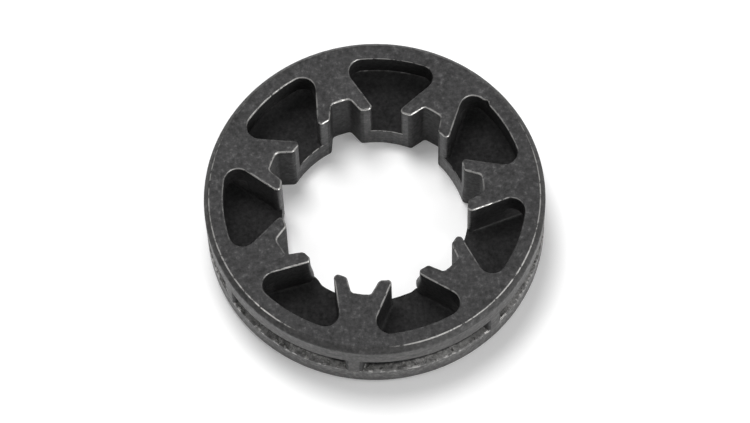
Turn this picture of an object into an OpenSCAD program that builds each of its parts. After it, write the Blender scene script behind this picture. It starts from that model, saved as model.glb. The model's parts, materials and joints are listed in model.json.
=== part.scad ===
// Chainsaw rim sprocket: one steel casting that floats on a splined hub and drives the chain.
// The bore runs along +Z, the closed rail is underneath, and the first web points along +X.

/* [Rails] */
// Height of the whole rim
rim_h = 8.6; // [7.6:0.1:11]
// Thickness of both rails outside the pockets
rail_wall = 2.15; // [1.4:0.05:3]
// Chamfer on the outer edge of each rail
rail_chamfer = 0.5; // [0.1:0.05:0.9]
// Thickness of the closed rail, which is the floor of the pockets
floor_h = 3.1; // [2:0.1:4]
// Height of the slot between the rails
slot_h = 2.5; // [1.4:0.1:3.4]

/* [Drive pockets] */
// Number of drive pockets, webs and spline grooves
teeth = 7; // [5:1:7]
// Diameter of the pockets' outer wall in the open rail
pocket_d = 33.2; // [31:0.1:38]
// Gap between two prongs at the bore, between the sharp corners
throat_w = 2.42; // [1.6:0.01:3]
// Width of a post at the outside of the rails, between the sharp corners
post_w = 1.77; // [1.2:0.01:2.8]
// Radius of a pocket's two outer corners
pocket_corner_r = 1.5; // [0.5:0.1:2.5]
// Radius on the outer edges of the posts in the slot
post_edge_r = 0.35; // [0.1:0.05:0.5]

/* [Spline bore] */
// Diameter of the bore between the spline grooves
bore_d = 20.6; // [19.6:0.1:21.4]
// Diameter at the bottom of the spline grooves
groove_d = 23.9; // [22.6:0.1:25]
// Width of a groove along its bottom, between the sharp corners
groove_w = 2.1; // [1.4:0.1:2.6]
// Slope of each groove wall against the middle of the groove
groove_slope = 22; // [12:1:28]
// Radius of the two corners at the bottom of a groove
groove_corner_r = 0.5; // [0.2:0.05:0.8]
// Radius on the corner of a prong beside the groove
prong_groove_r = 0.5; // [0.2:0.05:0.7]
// Radius on the corner of a prong beside the pocket
prong_pocket_r = 0.45; // [0.2:0.05:0.6]

/* [Fits] */
// How far the prong ends and the posts stand back from the bore and the rails
relief = 0.05; // [0.02:0.01:0.1]

/* [Hidden] */
// How far the cutting shapes run past the faces that they cut
overrun = 1;
// How far a corner's arc passes the walls that it blends, so that they cross cleanly
blend_pass = 0.001;
bore_r = bore_d / 2;
groove_r = groove_d / 2;
pocket_r = pocket_d / 2;
rail_r = pocket_r + rail_wall;
prong_r = bore_r + relief;
post_r = rail_r - relief;
pitch = 360 / teeth;
slot_top = floor_h + slot_h;
// Sharp ends of a pocket's side wall, at the prong and at the post, from the middle of the pocket
wall_start = polar(prong_r, asin(throat_w / 2 / prong_r));
wall_end = polar(post_r, pitch / 2 - asin(post_w / 2 / post_r));
wall_run = wall_end - wall_start;
wall_lean = atan2(wall_run.y, wall_run.x);
// Distance from the axis to where the two side walls of a pocket would meet
pocket_apex = wall_start.x - wall_start.y / tan(wall_lean);
// Distance from the axis to where the two walls of a groove would meet
groove_apex = groove_r + groove_w / 2 / tan(groove_slope);
$fn = 120;

function polar(reach, angle) = reach * [cos(angle), sin(angle)];

// Direction of an arc's centre that lies the depth inside a pocket's wall, at the reach from the axis
function pocket_blend(depth, reach) =
    wall_lean - asin((pocket_apex * sin(wall_lean) + depth) / reach);

// The same for a groove's wall, from the middle of the groove
function groove_blend(depth, reach) =
    asin((groove_apex * sin(groove_slope) - depth) / reach) - groove_slope;

// Repeats a shape at every tooth, and turns it by the given share of the pitch
module at_teeth(turn_share) {
    for (i = [0 : teeth - 1]) rotate((i + turn_share) * pitch) children();
}

// Repeats a shape on both sides of the +X axis
module both_sides() {
    children();
    mirror([0, 1]) children();
}

// What a round corner leaves over: its arc has radius r, stands at the reach and the angle,
// and blends the two walls that its centre faces
module corner_rest(reach, angle, r, first_wall, second_wall) {
    middle = (first_wall + second_wall) / 2;
    side = 2 * r;
    translate(polar(reach, angle)) difference() {
        polygon([
            [0, 0],
            polar(side, first_wall),
            polar(side / cos(second_wall - middle), middle),
            polar(side, second_wall)
        ]);
        circle(r = r + blend_pass);
    }
}

// Space between the two side walls of a pocket, from the apex out past the rim
module pocket_wedge() {
    wall_l = (rail_r + overrun) / cos(wall_lean);
    translate([pocket_apex, 0])
        polygon([[0, 0], polar(wall_l, wall_lean), polar(wall_l, -wall_lean)]);
}

// Pocket in the open rail: the wedge ends at a round outer wall with two round corners
module closed_pocket() {
    corner_reach = pocket_r - pocket_corner_r;
    corner_at = pocket_blend(pocket_corner_r, corner_reach);
    difference() {
        intersection() {
            pocket_wedge();
            circle(r = pocket_r);
        }
        both_sides()
            corner_rest(corner_reach, corner_at, pocket_corner_r, corner_at, wall_lean + 90);
    }
}

// Pocket at the slot: the wedge runs out through the rim and leaves a rounded post on each side
module open_pocket() {
    edge_reach = post_r - post_edge_r;
    edge_at = pocket_blend(-post_edge_r, edge_reach);
    pocket_wedge();
    both_sides() corner_rest(edge_reach, edge_at, post_edge_r, edge_at, wall_lean - 90);
}

// Round corners where the two walls of a pocket meet the prong ends
module pocket_mouth() {
    corner_reach = prong_r + prong_pocket_r;
    corner_at = pocket_blend(-prong_pocket_r, corner_reach);
    both_sides()
        corner_rest(corner_reach, corner_at, prong_pocket_r, corner_at - 180, wall_lean - 90);
}

// Spline groove that opens into the bore
module groove() {
    root_reach = groove_r - groove_corner_r;
    root_at = groove_blend(groove_corner_r, root_reach);
    mouth_reach = bore_r + prong_groove_r;
    mouth_at = groove_blend(-prong_groove_r, mouth_reach);
    difference() {
        intersection() {
            polygon([
                [groove_apex, 0],
                [0, groove_apex * tan(groove_slope)],
                [0, -groove_apex * tan(groove_slope)]
            ]);
            circle(r = groove_r);
        }
        both_sides()
            corner_rest(root_reach, root_at, groove_corner_r, root_at, 90 - groove_slope);
    }
    both_sides()
        corner_rest(mouth_reach, mouth_at, prong_groove_r, mouth_at - 180, -90 - groove_slope);
}

module between_heights(low, high) {
    translate([0, 0, low]) linear_extrude(high - low) children();
}

// Solid disc with the outer edges of both rails chamfered
module blank() {
    rotate_extrude() polygon([
        [0, 0],
        [rail_r - rail_chamfer, 0],
        [rail_r, rail_chamfer],
        [rail_r, rim_h - rail_chamfer],
        [rail_r - rail_chamfer, rim_h],
        [0, rim_h]
    ]);
}

module rim_sprocket() {
    color([0.25, 0.25, 0.26]) difference() {
        blank();
        between_heights(-overrun, rim_h + overrun) {
            circle(r = bore_r);
            at_teeth(0) groove();
        }
        between_heights(floor_h, rim_h + overrun) {
            circle(r = prong_r);
            at_teeth(0.5) {
                closed_pocket();
                pocket_mouth();
            }
        }
        between_heights(floor_h, slot_top) {
            at_teeth(0.5) open_pocket();
            difference() {
                circle(r = rail_r + overrun);
                circle(r = post_r);
            }
        }
    }
}

rim_sprocket();
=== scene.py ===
"""Looks of a chainsaw rim sprocket: the casting with rounded, worn edges, and a plain stage.

The casting's surface is worked out for half a tooth, from the middle of a web to the middle of
a pocket, and is then mirrored and turned round the bore axis. All lengths are in metres.
"""

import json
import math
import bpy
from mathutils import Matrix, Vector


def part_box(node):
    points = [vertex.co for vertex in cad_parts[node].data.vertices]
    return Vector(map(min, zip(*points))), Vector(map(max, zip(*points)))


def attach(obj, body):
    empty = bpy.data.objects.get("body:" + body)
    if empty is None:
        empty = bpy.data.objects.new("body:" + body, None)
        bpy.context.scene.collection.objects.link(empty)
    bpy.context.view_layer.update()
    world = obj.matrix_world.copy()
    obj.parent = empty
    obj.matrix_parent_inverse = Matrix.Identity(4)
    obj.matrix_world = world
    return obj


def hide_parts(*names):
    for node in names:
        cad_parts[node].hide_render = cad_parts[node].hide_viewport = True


bl_info = {
    "name": "Rim Sprocket",
    "version": (1, 0, 0),
    "blender": (4, 5, 0),
    "location": "3D View > Sidebar > Rim Sprocket",
    "description": "Builds a cast chainsaw rim sprocket with worn edges, and a plain stage for it",
    "category": "Mesh",
}

from types import SimpleNamespace

import bmesh
import bpy
import numpy as np
from bpy.props import FloatProperty, FloatVectorProperty, IntProperty, PointerProperty
from mathutils import Matrix, Vector

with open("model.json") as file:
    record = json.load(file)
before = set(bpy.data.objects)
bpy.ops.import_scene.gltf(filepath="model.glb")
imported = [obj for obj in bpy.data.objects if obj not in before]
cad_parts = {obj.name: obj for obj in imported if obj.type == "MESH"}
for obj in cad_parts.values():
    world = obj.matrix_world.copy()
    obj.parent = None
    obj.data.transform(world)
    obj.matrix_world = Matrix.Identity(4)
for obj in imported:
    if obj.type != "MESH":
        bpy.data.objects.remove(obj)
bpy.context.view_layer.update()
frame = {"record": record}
NODE = "rim_sprocket"
CAD_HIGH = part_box(NODE)[1]
BORE = next(m for m in frame["record"]["mounts"] if m["name"] == "spline_bore")
MM = 0.001


def length(name, description, default):
    return FloatProperty(
        name=name, description=description, default=default, unit="LENGTH", precision=5
    )


def slope(name, description, default):
    return FloatProperty(
        name=name, description=description, default=math.radians(default), subtype="ANGLE"
    )


def share(name, description, default):
    return FloatProperty(
        name=name, description=description, default=default, min=0.0, max=1.0, subtype="FACTOR"
    )


def tint(name, description, default):
    return FloatVectorProperty(
        name=name, description=description, default=default, size=3, min=0.0, max=1.0,
        subtype="COLOR",
    )


def watts(name, default):
    return FloatProperty(
        name=name, description="Power of the lamp", default=default, min=0.0, unit="POWER"
    )


class CastingSize(bpy.types.PropertyGroup):
    """Sizes of the casting, as in the solid, and the radii of its edges. Only the chamfer is a
    little wider, and the solid's relief at the prong ends and the posts is left out"""

    teeth: IntProperty(name="Teeth", description="Pockets, webs and grooves", default=7, min=3)
    rail_r: length("Rail radius", "Radius of both rails", CAD_HIGH.x)
    height: length("Height", "Height of the whole rim", CAD_HIGH.z)
    chamfer: length("Chamfer", "Chamfer on the outer edge of each rail", 0.56 * MM)
    floor_h: length("Floor", "Thickness of the closed rail", 3.1 * MM)
    slot_h: length("Slot", "Height of the slot between the rails", 2.5 * MM)
    pocket_r: length("Pocket radius", "Radius of the pockets' outer wall", 16.6 * MM)
    throat_w: length("Throat", "Gap between two prongs at the bore, sharp", 2.42 * MM)
    post_w: length("Post", "Width of a post at the rails' outside, sharp", 1.77 * MM)
    pocket_corner_r: length("Pocket corner", "Radius of a pocket's outer corners", 1.5 * MM)
    post_edge_r: length("Post edge", "Radius on the outer edges of the posts", 0.35 * MM)
    bore_r: length("Bore radius", "Radius at the prong ends", BORE["dims"]["r_mm"] * MM)
    groove_r: length("Groove radius", "Radius at the bottom of the grooves", 11.95 * MM)
    groove_w: length("Groove width", "Width of a groove's bottom, sharp", 2.1 * MM)
    groove_slope: slope("Groove slope", "Slope of a groove's walls against its middle", 22.0)
    groove_corner_r: length("Groove corner", "Radius at the bottom of a groove", 0.5 * MM)
    prong_groove_r: length("Prong, groove side", "Radius of a prong's corner", 0.5 * MM)
    prong_pocket_r: length("Prong, pocket side", "Radius of a prong's corner", 0.45 * MM)
    top_edge_r: length("Top edges", "Rounding of the top face's inner edges", 0.16 * MM)
    bottom_edge_r: length("Bottom edges", "Rounding of the underside's inner edges", 0.16 * MM)
    bore_edge_r: length("Bore edge", "Rounding of the pocket floors at the bore", 0.14 * MM)
    slot_edge_r: length("Slot edges", "Rounding of both rails' edges at the slot", 0.18 * MM)
    lip_edge_r: length("Lip edge", "Rounding of the open rail's inner lower edge", 0.12 * MM)
    chamfer_edge_r: length("Chamfer edges", "Rounding of the chamfers' own edges", 0.34 * MM)
    floor_fillet_r: length("Floor fillet", "Fillet between pocket floor and wall", 0.28 * MM)
    margin: length("Margin", "Flat strip beside each rounding", 0.05 * MM)
    grid: length("Grid", "Distance between points along an outline", 0.18 * MM)
    dent: length("Dent", "Depth of the dents along worn edges", 0.03 * MM)


class SteelLook(bpy.types.PropertyGroup):
    """Colours and finish of the cast steel"""

    skin: tint("Skin", "Colour of the oxide skin on the casting", (0.046, 0.0454, 0.0459))
    hollow: tint("Hollows", "Colour of the skin in the pockets", (0.0115, 0.0113, 0.0115))
    # The slot floor's colour is partly rough as-cast metal and partly painted light at the slot's
    # mouth
    blasted_and_lit: tint("Slot floor", "Colour of the rough floor of the slot", (0.21, 0.207, 0.202))
    turned: tint("Turned bands", "Colour of the rails' turned outer bands", (0.05, 0.0486, 0.0475))
    worn: tint("Worn edge", "Colour of bare metal on worn edges", (0.72, 0.71, 0.69))
    roughness: share("Roughness", "Roughness of the skin", 0.45)
    gloss: share("Gloss", "Specular level of the skin", 0.4)


class StageLook(bpy.types.PropertyGroup):
    """Floor, lamps and sky"""

    floor: tint("Floor", "Colour of the floor", (0.93, 0.93, 0.93))
    floor_glow: share("Floor glow", "Light added to the floor where it is seen", 0.14)
    key_power: watts("Key lamp", 0.93)
    back_power: watts("Back lamp", 0.32)
    left_power: watts("Left lamp", 0.07)
    right_power: watts("Right lamp", 0.18)
    low_power: watts("Low lamp", 0.66)
    sky: FloatProperty(
        name="Sky", description="Strength of the world's light", default=0.28, min=0.0
    )


# Outlines in plan

# Most radians between two points of an arc
ARC_STEP = 0.14


def direction(angle):
    """Unit vectors (cos a, sin a) for angles a in degrees."""
    a = np.radians(angle)
    return np.stack([np.cos(a), np.sin(a)], -1)


def arc(centre, radius, first, last, metal, grid):
    """Centre plus radius times (cos a, sin a), with a running evenly from first to last.
    The normals point into the metal: metal is 1 where that lies outside the arc, else -1."""
    run = abs(math.radians(last - first))
    steps = max(math.ceil(run * radius / grid), math.ceil(run / ARC_STEP), 2)
    way = direction(np.linspace(first, last, steps + 1))
    return centre + radius * way, metal * way


def straight(first, last, normal, grid):
    """First plus a share of the way to last, with the share running evenly from 0 to 1."""
    steps = max(math.ceil(np.linalg.norm(last - first) / grid), 2)
    part = np.linspace(0, 1, steps + 1)[:, None]
    return first + part * (last - first), np.tile(normal, (steps + 1, 1))


def joined(*paths):
    """One path made of several that meet end to end, with each shared point kept once."""
    points = [paths[0][0]] + [p[1:] for p, _ in paths[1:]]
    normals = [paths[0][1]] + [n[1:] for _, n in paths[1:]]
    return np.concatenate(points), np.concatenate(normals)


class HalfTooth:
    """Outlines of half a tooth in plan, with the middle of its web on +X.

    Walls that lean towards the middle are straight, and every corner is an arc that touches both
    of its walls. An arc of radius r between a wall and a circle about the axis has its centre r
    away from each, so the sine of its angle to the wall is its distance from the wall's parallel
    through the axis over its distance from the axis."""

    def __init__(self, size):
        self.half = 180 / size.teeth
        grid = size.grid
        axis = np.zeros(2)
        groove_wall = math.degrees(size.groove_slope)
        groove_apex = size.groove_r + size.groove_w / 2 / math.tan(size.groove_slope)
        groove_gap = groove_apex * math.sin(size.groove_slope)

        def groove_centre(inwards, reach):
            turn = math.degrees(math.asin((groove_gap - inwards) / reach)) - groove_wall
            return reach * direction(turn), turn

        side = direction(90 - groove_wall)
        root, root_turn = groove_centre(size.groove_corner_r, size.groove_r - size.groove_corner_r)
        mouth, mouth_turn = groove_centre(-size.prong_groove_r, size.bore_r + size.prong_groove_r)
        self.groove = joined(
            arc(axis, size.groove_r, 0, root_turn, 1, grid),
            arc(root, size.groove_corner_r, root_turn, 90 - groove_wall, 1, grid),
            straight(
                root + size.groove_corner_r * side, mouth - size.prong_groove_r * side, side, grid
            ),
            arc(mouth, size.prong_groove_r, -90 - groove_wall, mouth_turn - 180, -1, grid),
        )

        start_turn = math.degrees(math.asin(size.throat_w / 2 / size.bore_r))
        end_turn = self.half - math.degrees(math.asin(size.post_w / 2 / size.rail_r))
        start = size.bore_r * direction(start_turn)
        end = size.rail_r * direction(end_turn)
        run = (end - start) / np.linalg.norm(end - start)
        self.lean = math.degrees(math.atan2(run[1], run[0]))
        self.gap = start[0] * run[1] - start[1] * run[0]

        def pocket_centre(inwards, reach):
            turn = self.lean - math.degrees(math.asin((self.gap + inwards) / reach))
            return reach * direction(turn), turn

        tip, tip_turn = pocket_centre(-size.prong_pocket_r, size.bore_r + size.prong_pocket_r)
        corner, corner_turn = pocket_centre(
            size.pocket_corner_r, size.pocket_r - size.pocket_corner_r
        )
        post, post_turn = pocket_centre(-size.post_edge_r, size.rail_r - size.post_edge_r)
        inside = direction(self.lean + 90)
        tip_end = tip - size.prong_pocket_r * inside
        corner_start = corner + size.pocket_corner_r * inside
        post_start = post - size.post_edge_r * inside
        self.corner_centre = self.from_web(corner)
        self.prong_end = arc(axis, size.bore_r, mouth_turn, self.half - tip_turn, 1, grid)
        self.prong_tip = self.mirrored(
            arc(tip, size.prong_pocket_r, tip_turn - 180, self.lean - 90, -1, grid)
        )
        self.wall = self.mirrored(straight(tip_end, corner_start, inside, grid))
        self.pocket_end = self.mirrored(
            joined(
                arc(corner, size.pocket_corner_r, self.lean + 90, corner_turn, 1, grid),
                arc(axis, size.pocket_r, corner_turn, 0, 1, grid),
            )
        )
        self.post_wall = self.mirrored(
            joined(
                straight(corner_start, post_start, inside, grid),
                arc(post, size.post_edge_r, self.lean - 90, post_turn, -1, grid),
            )
        )
        self.post_turn = self.half - post_turn

    def from_web(self, points):
        """Points given from the middle of the pocket, as seen from the middle of the web."""
        c, s = direction(self.half)
        return points @ np.array([[c, s], [s, -c]])

    def mirrored(self, path):
        """The same for the points and the normals of a path."""
        return self.from_web(path[0]), self.from_web(path[1])

    def wall_distance(self, points):
        """Distance of points in the pocket from its straight side wall."""
        local = self.from_web(points)
        run = direction(self.lean)
        return local[..., 0] * run[1] - local[..., 1] * run[0] - self.gap


# Surfaces

# Wear where each edge's rounding is highest, as a share of the most. The ends of the top face's
# and the underside's roundings keep their own share, and the top face's edges lose some along
# the pockets
WEAR = SimpleNamespace(
    rounding_end=0.7,
    lost_along_pocket=0.4,
    floor_at_bore=0.6,
    floor_at_slot=0.1,
    fillet=0.22,
    lip=0.1,
    roof_at_slot=0.35,
    underside=0.6,
    chamfer_outer=0.25,
    chamfer_inner=0.78,
)
# Share of the hollows' skin on each surface. On the chamfers it is painted shade, not oxide
HOLLOW = SimpleNamespace(floor=0.78, roof=0.5, groove=0.6, post=0.6, pocket=1.0, chamfer=0.225)
# Share of the turned bands' skin on the upper rail with the posts, the lower rail and the chamfers
TURNED = SimpleNamespace(upper=1.0, lower=0.6, chamfer=0.5)
# Share of the slot's skin at the top of the lower rail's face, and how much of it the slot's own
# edge loses
ROUGH = SimpleNamespace(lower_face=0.16, lost_at_edge=0.6)
# Distance in from the rails' outer face where the slot's lighter skin starts, and where it is
# full. The band is partly rough as-cast metal and partly painted light at the slot's mouth;
# where it ends, the darker floor stands as painted shadow under the open rail
SLOT_LIGHT_BAND = (0.96 * MM, 0.66 * MM)
# Distance from the floor's ends where its fillet starts, and where it is full, in their edge radii
FILLET_ENDS = (2, 6)
# Least radius of that fillet, so that it can be divided by
LEAST_RADIUS = 1e-9
# Distance from the bore where the hollows' skin starts, and where it is full, in prong radii
HOLLOW_START = (0.6, 2.6)
# Length over which the top face's edges lose their wear, in radii of the pocket's corner
WEAR_FADE = 2.3
# Share of the slot edge's radius that the open rail's underside keeps from the outer face
ROOF_GAP = 0.2

# Points across each rounding and strip, and steps up each wall
ROUNDING_POINTS = 8
CHAMFER_POINTS = 6
FILLET_POINTS = 6
FLOOR_POINTS = 15
POST_POINTS = 7
SHORT_WALL = 3
TALL_WALL = 4
LOWER_FACE = 8


def shoulder(distance, radius):
    """How far a quarter round of the radius lies below the face, at a distance from its edge:
    the radius minus the root of radius squared minus (radius - distance) squared."""
    back = np.clip(radius - distance, 0, radius)
    return radius - np.sqrt(np.maximum(radius**2 - back**2, 0))


def crest(distance, radius):
    """1 in the middle of such a quarter round, falling to 0 at both of its ends."""
    t = np.clip(1 - distance / radius, 0, 1)
    return 2 * t * np.sqrt(1 - t**2)


def between(value, low, high):
    """3 v squared minus 2 v cubed, where v rises from 0 at low to 1 at high."""
    v = np.clip((value - low) / (high - low), 0, 1)
    return v * v * (3 - 2 * v)


def run_share(path):
    """How far along a path each of its points lies, as a share of the path's length."""
    run = np.append(0, np.cumsum(np.linalg.norm(np.diff(path, axis=0), axis=1)))
    return run / run[-1]


def spread(first, last, steps, margin):
    """Values from first to last in even steps, with one more a margin away from each end, or a
    quarter of the way where that is less. First and last may be arrays, and the steps run along
    a new last axis."""
    first, last = np.broadcast_arrays(np.asarray(first, float), np.asarray(last, float))
    gap = (last - first)[..., None]
    nudge = margin / np.maximum(np.abs(gap), margin * 4)
    even = np.linspace(0, 1, steps + 1)[1:-1] * (1 - 2 * nudge) + nudge
    ends = [np.zeros_like(gap), nudge, even, 1 - nudge, np.ones_like(gap)]
    return first[..., None] + gap * np.concatenate(ends, -1)


def lifted(plan, heights):
    """Points in plan with their heights."""
    heights = np.broadcast_to(heights, plan.shape[:-1])
    return np.concatenate([plan, heights[..., None]], -1)


def upright(path, heights):
    """A wall: every point of a path in plan is repeated at its own row of heights."""
    return lifted(np.repeat(path[:, None], np.shape(heights)[-1], 1), heights)


def chamfer_profile(size):
    """Distance in from the rail's outer face, depth below its flat face and wear, from the outer
    face over the chamfer to the flat strip. Each of the chamfer's two edges is an arc of 45
    degrees, which begins its radius times the tangent of 22.5 degrees before the edge."""
    r = size.chamfer_edge_r
    a = np.radians(np.linspace(0, 45, CHAMFER_POINTS))
    tangent = r * math.tan(math.radians(22.5))
    outer = np.stack([r * (1 - np.cos(a)), size.chamfer + tangent - r * np.sin(a)], -1)
    inner = outer[::-1, ::-1]
    strip = [inner[-1, 0] + size.margin, 0]
    middle = np.sin(4 * a)
    worn = np.concatenate([WEAR.chamfer_outer * middle, WEAR.chamfer_inner * middle[::-1], [0]])
    return np.vstack([outer, inner, strip]), worn


# What each point of the casting has a share of: bare metal, thinned by the edges' facing so that
# it also paints highlights, and the skins of the hollows, of the slot, lighter at its mouth as
# painted light, and of the turned bands
FINISHES = ("worn", "hollow", "slot", "turned")


class Patchwork:
    """Grids of points that are turned into one mesh, with what each point's finish needs."""

    def __init__(self):
        self.points = []
        self.finish = []
        self.faces = []
        self.count = 0

    def add(self, points, worn=0.0, hollow=0.0, slot=0.0, turned=0.0):
        """Adds points and returns their numbers."""
        shape = points.shape[:-1]
        self.points.append(points.reshape(-1, 3))
        values = [np.broadcast_to(v, shape).reshape(-1) for v in (worn, hollow, slot, turned)]
        self.finish.append(np.stack(values, -1))
        numbers = self.count + np.arange(int(np.prod(shape))).reshape(shape)
        self.count += numbers.size
        return numbers

    def grid(self, points, **finish):
        """A surface of four-sided faces over a grid of points."""
        n = self.add(points, **finish)
        quads = np.stack([n[:-1, :-1], n[1:, :-1], n[1:, 1:], n[:-1, 1:]], -1)
        self.faces.append(quads.reshape(-1, 4))

    def face(self, points, **finish):
        """One flat face inside a ring of points."""
        self.faces.append(self.add(points, **finish)[None])


class HalfToothSurface(Patchwork):
    """The whole surface of half a tooth, as patches that share their border points."""

    def __init__(self, size):
        super().__init__()
        self.size = size
        self.tooth = tooth = HalfTooth(size)
        self.roof_z = size.floor_h + size.slot_h
        self.side_wall = joined(tooth.prong_tip, tooth.wall, tooth.post_wall)[0]
        self.corner_at = len(tooth.prong_tip[0]) + len(tooth.wall[0]) - 2
        self.post_side = self.side_wall[self.corner_at :]
        self.reach = np.linalg.norm(self.side_wall, axis=1)
        self.reach[0], self.reach[-1] = size.bore_r, size.rail_r
        self.add_floor()
        self.add_roof()
        self.add_walls()
        self.add_inner_edges()
        self.add_outside()

    def add_floor(self):
        """The pocket's floor, in rows of constant distance from the axis that run from the side
        wall to the middle of the pocket. Its height is the closed rail's, less a quarter round at
        the bore and at the slot's mouth, plus a fillet along the wall that fades out at both."""
        size, tooth = self.size, self.tooth
        turn = np.degrees(np.arctan2(self.side_wall[:, 1], self.side_wall[:, 0]))
        squareness = np.cos(np.radians(tooth.lean - (tooth.half - turn)))
        quarter = np.radians(np.linspace(0, 90, FILLET_POINTS))
        near = size.floor_fillet_r * (1 - np.cos(quarter))
        near_turns = turn[:, None] + np.degrees(near / (self.reach * squareness)[:, None])
        rest = near_turns[:, -1:]
        far_turns = rest + (tooth.half - rest) * np.linspace(0, 1, FLOOR_POINTS)[1:]
        turns = np.concatenate([near_turns, far_turns], 1)
        plan = self.reach[:, None, None] * direction(turns)
        reach = np.broadcast_to(self.reach[:, None], turns.shape)
        from_bore, from_rim = reach - size.bore_r, size.rail_r - reach
        from_wall = tooth.wall_distance(plan)
        full = between(from_bore / size.bore_edge_r, *FILLET_ENDS)
        full = full * between(from_rim / size.slot_edge_r, *FILLET_ENDS)
        off = shoulder(from_bore, size.bore_edge_r) + shoulder(from_rim, size.slot_edge_r)
        rise = shoulder(from_wall, size.floor_fillet_r * full + LEAST_RADIUS)
        z = size.floor_h - off + rise
        mouth = crest(from_rim, size.slot_edge_r)
        worn = WEAR.floor_at_bore * crest(from_bore, size.bore_edge_r)
        worn = worn + WEAR.floor_at_slot * mouth
        worn = worn + WEAR.fillet * crest(from_wall, size.floor_fillet_r) * full
        # Lighter slot skin on the floor's outer band: partly rough metal, partly painted light,
        # with the darker floor behind it as painted shadow under the open rail
        slot_light = between(from_rim, *SLOT_LIGHT_BAND)
        self.grid(
            lifted(plan, z),
            worn=worn,
            hollow=HOLLOW.floor * (1 - slot_light),
            slot=slot_light * (1 - ROUGH.lost_at_edge * mouth),
        )
        self.foot = z[:, 0]
        self.land = plan[0]
        self.floor_turns = turns[-1]

    def add_roof(self):
        """The open rail's underside: a Coons patch between the pocket's outline, the rail's outer
        face, the side of the post and the middle of the pocket, held back from the outer face. Its
        height is the slot's, plus a quarter round along the outline and along the outer face."""
        size, tooth = self.size, self.tooth
        outline, left = tooth.pocket_end[0], self.post_side
        s = run_share(outline)[:, None, None]
        v = run_share(left)[None, :, None]
        self.roof_turns = tooth.post_turn + (tooth.half - tooth.post_turn) * s[:, 0, 0]
        outer = size.rail_r * direction(self.roof_turns)
        right = outline[-1] + v[0] * (outer[-1] - outline[-1])
        plan = (1 - v) * outline[:, None] + v * outer[:, None]
        plan = plan + (1 - s) * left[None] + s * right[None]
        plan = plan - (1 - s) * (1 - v) * outline[0] - s * (1 - v) * outline[-1]
        plan = plan - (1 - s) * v * outer[0] - s * v * outer[-1]
        most = np.maximum(self.reach[self.corner_at :], size.rail_r - size.slot_edge_r * ROOF_GAP)
        plan = plan * np.minimum(1, most / np.linalg.norm(plan, axis=-1))[..., None]
        reach = np.linalg.norm(plan, axis=-1)
        turn = np.arctan2(plan[..., 1], plan[..., 0])
        corner_turn = np.arctan2(*tooth.corner_centre[::-1])
        from_corner = np.linalg.norm(plan - tooth.corner_centre, axis=-1) - size.pocket_corner_r
        lip = np.where(turn < corner_turn, from_corner, reach - size.pocket_r)
        lip[:, 0] = 0
        rim = size.rail_r - reach
        rim[:, -1] = 0
        z = self.roof_z + shoulder(lip, size.lip_edge_r) + shoulder(rim, size.slot_edge_r)
        worn = WEAR.lip * crest(lip, size.lip_edge_r)
        worn = worn + WEAR.roof_at_slot * crest(rim, size.slot_edge_r)
        self.grid(lifted(plan, z), worn=worn, hollow=HOLLOW.roof)
        self.roof = z[0]

    def edge_wear(self, path):
        """Wear of the top face's edges: full at the bore, fading away along the pockets."""
        beyond = np.linalg.norm(path, axis=1) - self.size.groove_r
        fade = between(beyond, 0, WEAR_FADE * self.size.pocket_corner_r)
        return 1 - WEAR.lost_along_pocket * fade

    def add_walls(self):
        """The upright walls: paths in plan, repeated at heights from the underside's rounding or
        the floor to the open rail, and on to the top face's rounding, which begins there with
        some wear."""
        size, tooth, margin = self.size, self.tooth, self.size.margin
        edge_z = size.floor_h - size.bore_edge_r
        break_z = self.roof_z + size.lip_edge_r
        top = size.height - size.top_edge_r
        under = spread(size.bottom_edge_r, edge_z, SHORT_WALL, margin)
        high = spread(break_z, top, SHORT_WALL, margin)

        def upper_wall(path, hollow):
            brow = self.edge_wear(path)[:, None] * WEAR.rounding_end * (high == top)
            self.grid(upright(path, high), worn=brow, hollow=hollow)

        at_bore = joined(tooth.groove, tooth.prong_end)[0]
        in_groove = np.arange(len(at_bore))[:, None] < len(tooth.groove[0])
        dull = HOLLOW.groove * in_groove
        self.grid(upright(at_bore, under), hollow=dull)
        self.grid(upright(at_bore, spread(edge_z, break_z, TALL_WALL, margin)), hollow=dull)
        upper_wall(at_bore, dull)

        inner = slice(self.corner_at + 1)
        path, foot = self.side_wall[inner], self.foot[inner]
        from_bore = self.reach[inner, None] - size.bore_r
        deep = between(from_bore / size.prong_pocket_r, *HOLLOW_START)
        self.grid(upright(path, spread(foot, break_z, TALL_WALL, margin)), hollow=deep)
        upper_wall(path, deep)
        post = spread(self.foot[self.corner_at :], self.roof, TALL_WALL, margin)
        self.grid(upright(self.post_side, post), hollow=HOLLOW.post)
        upper_wall(tooth.pocket_end[0], HOLLOW.pocket)
        self.grid(upright(self.land, under))

    def add_rounding(self, path, radius, height, up, wear):
        """A quarter round from a wall to a flat face, swept along the path, and the flat strip
        beside it. At the angle a it lies radius (1 - cos a) into the metal and radius (1 - sin a)
        from the face. Returns the strip's far line in plan."""
        a = np.radians(np.linspace(0, 90, ROUNDING_POINTS))
        inset = np.append(radius * (1 - np.cos(a)), radius + self.size.margin)
        below = np.append(radius * (1 - np.sin(a)), 0)
        across = np.append(np.maximum(np.sin(2 * a), WEAR.rounding_end), 0)
        points, normals = path
        plan = points[:, None] + normals[:, None] * inset[:, None]
        self.grid(lifted(plan, height - up * below), worn=np.reshape(wear, (-1, 1)) * across)
        return plan[:, -1]

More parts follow.
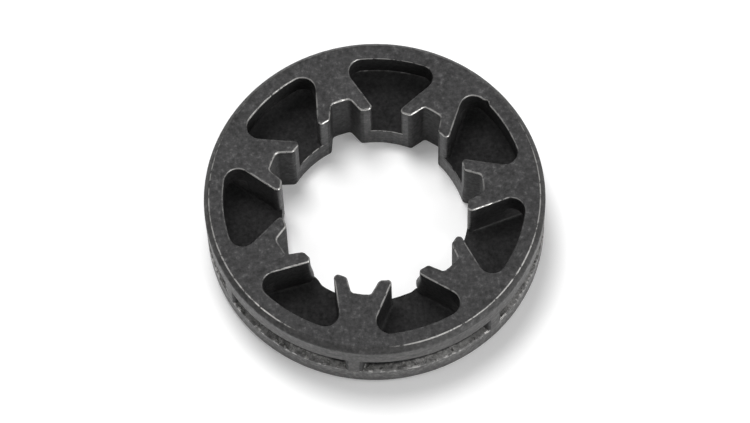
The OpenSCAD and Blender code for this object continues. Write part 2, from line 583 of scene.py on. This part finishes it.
    def add_inner_edges(self):
        """The roundings of the top face's and the underside's inner edges, each swept along one
        path from the middle of the web to the middle of the pocket."""
        size, tooth = self.size, self.tooth
        top_path = joined(
            tooth.groove, tooth.prong_end, tooth.prong_tip, tooth.wall, tooth.pocket_end
        )
        outwards = self.land / np.linalg.norm(self.land, axis=1)[:, None]
        under_path = joined(tooth.groove, tooth.prong_end, (self.land, outwards))
        wear = self.edge_wear(top_path[0])
        self.top_line = self.add_rounding(top_path, size.top_edge_r, size.height, 1, wear)
        self.under_line = self.add_rounding(
            under_path, size.bottom_edge_r, 0, -1, WEAR.underside
        )

    def add_outside(self):
        """The outer faces of the post and the rails at the rail radius, the chamfers' profile
        turned round the axis, and the flat top face and underside as one face each."""
        size, margin = self.size, self.size.margin
        post_turns = np.linspace(0, self.tooth.post_turn, POST_POINTS)
        upper_turns = np.append(post_turns, self.roof_turns[1:])
        lower_turns = np.append(post_turns, self.floor_turns[1:])
        profile, profile_worn = chamfer_profile(size)
        inset, below = profile.T
        slot_low = size.floor_h - size.slot_edge_r
        slot_high = self.roof_z + size.slot_edge_r
        low = spread(below[0], slot_low, LOWER_FACE, margin)
        rough = ROUGH.lower_face * between(low, below[0], slot_low)

        def outer_face(turns, heights, **finish):
            self.grid(upright(size.rail_r * direction(turns), heights), **finish)

        outer_face(
            post_turns, spread(slot_low, slot_high, TALL_WALL, margin), turned=TURNED.upper
        )
        outer_face(
            upper_turns,
            spread(slot_high, size.height - below[0], SHORT_WALL, margin),
            turned=TURNED.upper,
        )
        outer_face(lower_turns, low, turned=TURNED.lower, slot=rough)
        on_chamfer = np.arange(len(profile)) < len(profile) - 2
        for turns, base, up, inner_line in (
            (upper_turns, size.height, 1, self.top_line),
            (lower_turns, 0, -1, self.under_line),
        ):
            plan = direction(turns)[:, None] * (size.rail_r - inset)[:, None]
            self.grid(
                lifted(plan, base - up * below),
                worn=profile_worn,
                turned=TURNED.chamfer * on_chamfer,
                # On the chamfers the hollows' darker skin is painted shade
                hollow=HOLLOW.chamfer * on_chamfer,
            )
            self.face(lifted(np.concatenate([inner_line, plan[::-1, -1]]), base))


# Share of the margin within which two points become one
MERGE_SHARE = 0.01
# Degrees between two faces from which the edge between them is drawn sharp
SHARP_FROM = 38.0


def casting_mesh(size):
    """All teeth in one mesh: the half tooth and its mirror image, turned round the axis."""
    half = HalfToothSurface(size)
    points = np.concatenate(half.points)
    finish = np.concatenate(half.finish)
    copies, faces = [], []
    for k in range(size.teeth):
        c, s = direction(k * 360 / size.teeth)
        turn = np.array([[c, s, 0], [-s, c, 0], [0, 0, 1]])
        for copy, way in ((points, 1), (points * [1, -1, 1], -1)):
            base = len(copies) * len(points)
            faces += [(row[::way] + base).tolist() for block in half.faces for row in block]
            copies.append(copy @ turn)
    mesh = bpy.data.meshes.new("casting")
    mesh.from_pydata(np.concatenate(copies), [], faces)
    values = np.tile(finish, (len(copies), 1)).astype(np.float32)
    for i, name in enumerate(FINISHES):
        layer = mesh.attributes.new(name, "FLOAT", "POINT")
        layer.data.foreach_set("value", np.ascontiguousarray(values[:, i]))
    near = size.margin * MERGE_SHARE
    work = bmesh.new()
    work.from_mesh(mesh)
    bmesh.ops.remove_doubles(work, verts=work.verts, dist=near)
    bmesh.ops.dissolve_degenerate(work, edges=work.edges, dist=near)
    bmesh.ops.recalc_face_normals(work, faces=work.faces)
    work.to_mesh(mesh)
    work.free()
    wear_edges(mesh, size)
    mesh.shade_smooth()
    mesh.set_sharp_from_angle(angle=math.radians(SHARP_FROM))
    return mesh


# Worn, dented and uneven places, with highlights painted along the worn edges

# Sines in a ripple, and the range of their rates round the mean
RIPPLE_SINES = 12
RIPPLE_RATES = (0.6, 1.5)
# Mean wave and random seed of each ripple of dents, and the most that one can add
DENT_RIPPLES = ((1.1 * MM, 3), (0.5 * MM, 4))
DEEPEST = 1.5
# Wear of an edge whose normal has no y, how the wear changes with that y, and the least of it.
# That change is a painted highlight: edges facing -Y keep more bright bare metal
INSIDE_HIGHLIGHT_WEAR = (0.45, -0.7)
RAIL_HIGHLIGHT_WEAR = (0.6, -1.2)
LEAST_WEAR = 0.15
# Direction in degrees where the rails' edges lose their bare metal, which paints out their
# highlight there and opposite, and the sines of the turns away from there at which the wear
# starts and is full
NO_HIGHLIGHT_AT = 253.0
NO_HIGHLIGHT_ENDS = (0.12, 0.57)
# Places where the casting swells or is chipped. The middle's radius in mm, turn in degrees and
# height in mm, then the reach in mm along the radius, round the bore and along it, and the move
# in mm outwards, round the bore and upwards
SWELLINGS = (
    ((10.3, 222.0, 3.2), (0.9, 1.6, 4.2), (-0.36, 0.12, 0.0)),
    ((10.3, 292.6, 4.6), (0.9, 1.3, 2.8), (-0.5, -0.25, 0.0)),
    ((10.3, 286.0, 2.9), (1.0, 3.2, 1.8), (-0.18, 0.0, 0.0)),
    ((10.3, 18.0, 0.8), (1.0, 5.4, 3.4), (-0.2, 0.0, 0.0)),
    ((16.7, 36.0, 8.4), (0.4, 0.55, 0.9), (0.3, 0.0, 0.0)),
)


def ripple(points, wave, seed):
    """A sum of sines of the place along fixed, scattered directions, about 1 in size. The wave
    is their mean length."""
    rng = np.random.default_rng(seed)
    ways = rng.normal(size=(3, RIPPLE_SINES))
    ways /= np.linalg.norm(ways, axis=0)
    rates = 2 * np.pi / wave * rng.uniform(*RIPPLE_RATES, RIPPLE_SINES)
    starts = rng.uniform(0, 2 * np.pi, RIPPLE_SINES)
    return np.sin(points @ (ways * rates) + starts).sum(1) / math.sqrt(RIPPLE_SINES / 2)


def swell(points):
    """Moves points by the swellings. Each one fades with the distance from its middle, measured
    in reaches along the radius, round the bore and along it: (1 - distance squared) squared."""
    r = np.hypot(points[:, 0], points[:, 1]) / MM
    turn = np.arctan2(points[:, 1], points[:, 0])
    moved = points.copy()
    out = np.stack([np.cos(turn), np.sin(turn), 0 * turn], -1)
    around = np.stack([-np.sin(turn), np.cos(turn), 0 * turn], -1)
    for middle, reach, move in SWELLINGS:
        aside = (turn - math.radians(middle[1]) + math.pi) % (2 * math.pi) - math.pi
        away = np.stack([r - middle[0], aside * middle[0], points[:, 2] / MM - middle[2]], -1)
        part = np.clip(1 - ((away / reach) ** 2).sum(1), 0, 1)[:, None] ** 2 * MM
        moved += part * (move[0] * out + move[1] * around + move[2] * np.array([0, 0, 1]))
    return moved


def wear_with_painted_highlights(points, normals, size):
    """Share of the wear at each point: a number plus a multiple of the normal's y, held between
    the least wear and 1, so that edges facing -Y keep more bright bare metal as a painted
    highlight. On the rails' outer edges it also fades to 0 where the direction from the axis is
    near the one without highlight or opposite it, which paints their highlight out there."""

    def held(wear):
        return np.clip(wear[0] + wear[1] * normals[:, 1], LEAST_WEAR, 1)

    turn = np.arctan2(points[:, 1], points[:, 0])
    off = np.abs(np.sin(turn - math.radians(NO_HIGHLIGHT_AT)))
    on_rail = np.hypot(points[:, 0], points[:, 1]) > size.pocket_r + size.margin
    return np.where(on_rail, held(RAIL_HIGHLIGHT_WEAR) * between(off, *NO_HIGHLIGHT_ENDS), held(INSIDE_HIGHLIGHT_WEAR))


def read(rows, name, width):
    """The named value of all rows of a mesh's list, as an array with a row for each."""
    values = np.zeros(len(rows) * width)
    rows.foreach_get(name, values)
    return values.reshape(-1, width)


def wear_edges(mesh, size):
    """Thins the wear out by the edges' facing, which paints their highlights, pushes the crest of
    every worn edge in by up to the dent's depth where a ripple is high, and adds the swellings."""
    place = read(mesh.vertices, "co", 3)
    normals = read(mesh.vertex_normals, "vector", 3)
    worn = read(mesh.attributes["worn"].data, "value", 1)[:, 0]
    # Wear thinned by the edges' facing: partly real wear, partly painted highlight
    wear_and_highlights = worn * wear_with_painted_highlights(place, normals, size)
    mesh.attributes["worn"].data.foreach_set("value", wear_and_highlights.astype(np.float32))
    hits = sum(np.clip(ripple(place, wave, seed), 0, DEEPEST) for wave, seed in DENT_RIPPLES)
    place = swell(place - normals * (worn * hits * size.dent / len(DENT_RIPPLES))[:, None])
    mesh.vertices.foreach_set("co", place.astype(np.float32).reshape(-1))
    mesh.update()


# Material


def node(tree, kind, inputs=None, **settings):
    """Adds a shader node, sets its own settings, and links or sets its inputs."""
    made = tree.nodes.new(kind)
    for name, value in settings.items():
        setattr(made, name, value)
    for key, value in (inputs or {}).items():
        if isinstance(value, bpy.types.NodeSocket):
            tree.links.new(value, made.inputs[key])
        else:
            made.inputs[key].default_value = value
    return made


def mixed(tree, factor, first, second):
    """A colour mix of two colours or sockets."""
    made = node(tree, "ShaderNodeMix", {0: factor}, data_type="RGBA")
    for index, value in ((6, first), (7, second)):
        if isinstance(value, bpy.types.NodeSocket):
            tree.links.new(value, made.inputs[index])
        else:
            made.inputs[index].default_value = (*value, 1)
    return made.outputs[2]


def scaled(tree, colour, factor):
    """A colour times a number."""
    made = node(tree, "ShaderNodeVectorMath", {0: colour, "Scale": factor}, operation="SCALE")
    return made.outputs[0]


def maths(tree, operation, *values, clamp=False):
    """A Math node over numbers and sockets."""
    made = node(
        tree, "ShaderNodeMath", dict(enumerate(values)), operation=operation, use_clamp=clamp
    )
    return made.outputs[0]


def ranged(tree, value, low, high, to_low=0.0, to_high=1.0):
    """Maps low to high onto another range, held at its ends."""
    inputs = {0: value, 1: low, 2: high, 3: to_low, 4: to_high}
    return node(tree, "ShaderNodeMapRange", inputs).outputs[0]


def noise(tree, place, wave, detail, rough):
    """Noise whose features are about a wave apart."""
    inputs = {"Vector": place, "Scale": 1 / wave, "Detail": detail, "Roughness": rough}
    return node(tree, "ShaderNodeTexNoise", inputs).outputs[0]


# Noise patterns of the steel: the wave, the detail and the roughness of each
GRAIN = (0.42 * MM, 3.0, 0.62)
MOTTLE = (1.4 * MM, 3.0, 0.6)
SPECK = (0.48 * MM, 2.0, 0.5)
CLOUD = (6.0 * MM, 2.0, 0.5)
STREAK = (0.5 * MM, 3.0, 0.7)
PATCH = (0.7 * MM, 4.0, 0.65)
# Scale of the streaks' places: less across the bore draws them out round it
STREAK_SCALE = (0.2, 0.2, 1.4)
# A pattern's range, and the range of the tone that it adds to the skin
GRAIN_TONE = (0.3, 0.7, -0.46, 0.4)
MOTTLE_TONE = (0.3, 0.7, -0.08, 0.1)
CLOUD_TONE = (0.35, 0.65, -0.06, 0.08)
STREAK_TONE = (0.35, 0.65, -0.36, 0.36)
FLECK_TONE = (0.58, 0.72, 0.0, 0.85)
SLOT_TONE = (0.4, 0.6, -0.25, 0.5)
# Tone without any pattern, and the share of grain and flecks that the turned bands lose
MEAN_TONE = 0.96
TURNED_LOSS = 0.35
# The clouds' range, and the range of the factor that they put on the wear
CLOUD_WEAR = (0.36, 0.6, 0.7, 1.15)
# Share of the wear that is added to the patches' noise, and where patches, worn edges and
# sparkling specks start and are full
PATCH_BIAS = 0.2
PATCH_ENDS = (0.46, 0.6)
WORN_ENDS = (0.18, 0.7)
SPARKLE_ENDS = (0.52, 0.62)
# Roughness that the grain, the hollows and bare metal add
GRAIN_ROUGH = (0.3, 0.7, 0.08, -0.08)
HOLLOW_ROUGH = 0.3
BARE_ROUGH = -0.12
# Weight of the slot's specks and of the mottle beside the grain's, and the height of the relief
SPECK_RELIEF = 3.5
MOTTLE_RELIEF = 0.8
RELIEF_H = 0.011 * MM


def cast_steel(look):
    """Dark cast steel under a thin oxide skin: a fine speckled grain, matt in the hollows, rough
    in the slot and lighter at its mouth as painted light, streaked along the turned bands, and
    bare metal along the worn edges, thinned by their facing as painted highlights."""
    material = bpy.data.materials.new("cast_steel")
    material.use_nodes = True
    tree = material.node_tree
    tree.nodes.clear()
    place = node(tree, "ShaderNodeTexCoord").outputs["Object"]
    worn, hollow, slot, turned = (
        node(tree, "ShaderNodeAttribute", attribute_name=name).outputs["Fac"] for name in FINISHES
    )
    grain, mottle, speck, cloud, patch = (
        noise(tree, place, *pattern) for pattern in (GRAIN, MOTTLE, SPECK, CLOUD, PATCH)
    )
    drawn = node(tree, "ShaderNodeVectorMath", {0: place, 1: STREAK_SCALE}, operation="MULTIPLY")
    streak = noise(tree, drawn.outputs[0], *STREAK)

    skin = mixed(tree, turned, look.skin, look.turned)
    skin = mixed(tree, hollow, skin, look.hollow)
    # The slot's lighter colour is partly painted light at the slot's mouth
    skin = mixed(tree, slot, skin, look.blasted_and_lit)
    even = maths(tree, "MULTIPLY_ADD", turned, -TURNED_LOSS, 1.0)
    open_skin = maths(tree, "SUBTRACT", 1.0, hollow)
    fleck = maths(tree, "MULTIPLY", ranged(tree, grain, *FLECK_TONE), open_skin)
    banded = maths(tree, "MULTIPLY", ranged(tree, streak, *STREAK_TONE), turned)
    tone = maths(tree, "MULTIPLY_ADD", ranged(tree, grain, *GRAIN_TONE), even, MEAN_TONE)
    tone = maths(tree, "ADD", tone, ranged(tree, mottle, *MOTTLE_TONE))
    tone = maths(tree, "ADD", tone, ranged(tree, cloud, *CLOUD_TONE))
    tone = maths(tree, "ADD", tone, banded)
    tone = maths(tree, "MULTIPLY_ADD", fleck, even, tone)
    tone = maths(tree, "MULTIPLY_ADD", ranged(tree, mottle, *SLOT_TONE), slot, tone)
    skin = scaled(tree, skin, tone)

    # The worn attribute holds wear plus painted highlights, thinned by the edges' facing
    worn = maths(tree, "MULTIPLY", worn, ranged(tree, cloud, *CLOUD_WEAR))
    patch = maths(tree, "MULTIPLY_ADD", worn, PATCH_BIAS, patch)
    patch = ranged(tree, patch, *PATCH_ENDS)
    bare = maths(tree, "MULTIPLY", ranged(tree, worn, *WORN_ENDS), patch, clamp=True)
    sparkle = maths(tree, "MULTIPLY", ranged(tree, speck, *SPARKLE_ENDS), slot)
    bare = maths(tree, "MAXIMUM", bare, sparkle)
    colour = mixed(tree, bare, skin, look.worn)

    rough = maths(tree, "ADD", ranged(tree, grain, *GRAIN_ROUGH), look.roughness)
    rough = maths(tree, "MULTIPLY_ADD", hollow, HOLLOW_ROUGH, rough)
    rough = maths(tree, "MULTIPLY_ADD", bare, BARE_ROUGH, rough, clamp=True)

    relief = maths(tree, "MULTIPLY_ADD", maths(tree, "MULTIPLY", speck, slot), SPECK_RELIEF, grain)
    relief = maths(tree, "MULTIPLY_ADD", mottle, MOTTLE_RELIEF, relief)
    bump = node(
        tree, "ShaderNodeBump", {"Strength": 1.0, "Distance": RELIEF_H, "Height": relief}
    )
    inputs = {
        "Base Color": colour,
        "Roughness": rough,
        "Metallic": bare,
        "Specular IOR Level": look.gloss,
        "Normal": bump.outputs[0],
    }
    shader = node(tree, "ShaderNodeBsdfPrincipled", inputs)
    node(tree, "ShaderNodeOutputMaterial", {0: shader.outputs[0]}, is_active_output=True)
    return material


def floor_material(look):
    """A pale floor that keeps shadows, with a little light of its own where it is seen."""
    material = bpy.data.materials.new("floor")
    material.use_nodes = True
    tree = material.node_tree
    tree.nodes.clear()
    rays = node(tree, "ShaderNodeLightPath")
    seen = maths(tree, "MAXIMUM", rays.outputs["Is Camera Ray"], rays.outputs["Is Glossy Ray"])
    seen = maths(tree, "MAXIMUM", seen, rays.outputs["Is Transmission Ray"])
    glow = node(
        tree,
        "ShaderNodeEmission",
        {"Color": (1, 1, 1, 1), "Strength": maths(tree, "MULTIPLY", seen, look.floor_glow)},
    )
    matt = node(tree, "ShaderNodeBsdfDiffuse", {"Color": (*look.floor, 1)})
    both = node(tree, "ShaderNodeAddShader", {0: matt.outputs[0], 1: glow.outputs[0]})
    node(tree, "ShaderNodeOutputMaterial", {0: both.outputs[0]})
    return material


# Operators


class RIM_OT_casting(bpy.types.Operator):
    """Build the casting and put it in place of the plain solid"""

    bl_idname = "rim.casting"
    bl_label = "Casting"

    def execute(self, context):
        scene = context.scene
        piece = bpy.data.objects.new("casting", casting_mesh(scene.rim_size))
        scene.collection.objects.link(piece)
        piece.data.materials.append(cast_steel(scene.rim_steel))
        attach(piece, "root")
        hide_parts(NODE)
        return {"FINISHED"}


# Azimuth and elevation of each lamp in degrees, its diameter, and whether reflections show it
LAMPS = {
    "key": (110, 72, 0.16, False),
    "back": (110, 52, 0.2, False),
    "left": (192, 58, 0.08, True),
    "right": (338, 56, 0.14, True),
    "low": (308, 13, 0.2, True),
}
LAMP_DISTANCE = 0.4


def lamp(name, power):
    """A round area lamp that faces the origin from its azimuth and elevation."""
    azimuth, elevation, diameter, reflected = LAMPS[name]
    data = bpy.data.lights.new(name, "AREA")
    data.shape = "DISK"
    data.size = diameter
    data.energy = power
    made = bpy.data.objects.new(name, data)
    made.visible_glossy = reflected
    level = LAMP_DISTANCE * math.cos(math.radians(elevation))
    x, y = level * direction(azimuth)
    made.location = (x, y, LAMP_DISTANCE * math.sin(math.radians(elevation)))
    made.rotation_euler = (-made.location).to_track_quat("-Z", "Y").to_euler()
    return made


# The floor's half width, and how far it lies under the casting
FLOOR_HALF = 1.0
FLOOR_GAP = 0.01 * MM


def ground(look):
    """The floor: one square face just under the casting."""
    mesh = bpy.data.meshes.new("floor")
    signs = ((-1, -1), (1, -1), (1, 1), (-1, 1))
    corners = [(x * FLOOR_HALF, y * FLOOR_HALF, -FLOOR_GAP) for x, y in signs]
    mesh.from_pydata(corners, [], [(0, 1, 2, 3)])
    mesh.materials.append(floor_material(look))
    return bpy.data.objects.new("floor", mesh)


# The camera's azimuth from -Y, elevation and roll in degrees, its lens in mm, and where the
# origin lies for it: how far away, and how far to the right of and above its picture's middle
CAMERA = SimpleNamespace(
    azimuth=-3.77,
    elevation=65.553,
    roll=-2.236,
    lens=177.2,
    distance=412.1475 * MM,
    aside=0.079060125 * MM,
    above=-1.6271385 * MM,
    clip=(0.01, 10),
)


def photo_camera():
    """The camera: its own axes come from the azimuth and the elevation, turned by the roll, and
    its place is the origin's place for it, taken back along those axes."""
    a, e, t = (math.radians(v) for v in (CAMERA.azimuth, CAMERA.elevation, CAMERA.roll))
    right = Vector((math.cos(a), math.sin(a), 0))
    back = Vector((math.sin(a) * math.cos(e), -math.cos(a) * math.cos(e), math.sin(e)))
    up = back.cross(right)
    across = right * math.cos(t) + up * math.sin(t)
    upward = up * math.cos(t) - right * math.sin(t)
    stand = Matrix((across, upward, back)).transposed().to_4x4()
    aside = across * CAMERA.aside + upward * CAMERA.above
    stand.translation = back * CAMERA.distance - aside
    data = bpy.data.cameras.new("camera")
    data.lens = CAMERA.lens
    data.clip_start, data.clip_end = CAMERA.clip
    made = bpy.data.objects.new("camera", data)
    made.matrix_world = stand
    return made


class RIM_OT_stage(bpy.types.Operator):
    """Make the floor, the lamps, the sky and the camera"""

    bl_idname = "rim.stage"
    bl_label = "Stage"

    def execute(self, context):
        scene = context.scene
        look = scene.rim_stage
        floor = ground(look)
        scene.collection.objects.link(floor)
        for name in LAMPS:
            scene.collection.objects.link(lamp(name, getattr(look, name + "_power")))

        world = bpy.data.worlds.new("sky")
        world.use_nodes = True
        sky = world.node_tree.nodes["Background"].inputs
        sky["Color"].default_value = (1, 1, 1, 1)
        sky["Strength"].default_value = look.sky
        scene.world = world

        scene.camera = photo_camera()
        scene.collection.objects.link(scene.camera)
        scene.view_settings.view_transform = "Standard"
        return {"FINISHED"}


class RIM_PT_panel(bpy.types.Panel):
    """Shows the casting's sizes, the steel's and the stage's looks, and the buttons of the two
    operators
    """

    bl_idname = "RIM_PT_panel"
    bl_label = "Rim Sprocket"
    bl_space_type = "VIEW_3D"
    bl_region_type = "UI"
    bl_category = "Rim Sprocket"

    def draw(self, context):
        scene = context.scene
        for group in (scene.rim_size, scene.rim_steel, scene.rim_stage):
            box = self.layout.box()
            for name in group.__annotations__:
                box.prop(group, name)
        for operator in (RIM_OT_casting, RIM_OT_stage):
            self.layout.operator(operator.bl_idname)


CLASSES = (CastingSize, SteelLook, StageLook, RIM_OT_casting, RIM_OT_stage, RIM_PT_panel)


def register():
    for item in CLASSES:
        bpy.utils.register_class(item)
    bpy.types.Scene.rim_size = PointerProperty(type=CastingSize)
    bpy.types.Scene.rim_steel = PointerProperty(type=SteelLook)
    bpy.types.Scene.rim_stage = PointerProperty(type=StageLook)


def unregister():
    del bpy.types.Scene.rim_stage, bpy.types.Scene.rim_steel, bpy.types.Scene.rim_size
    for item in reversed(CLASSES):
        bpy.utils.unregister_class(item)


def main():
    register()
    bpy.ops.rim.casting()
    bpy.ops.rim.stage()


if __name__ == "__main__":
    main()
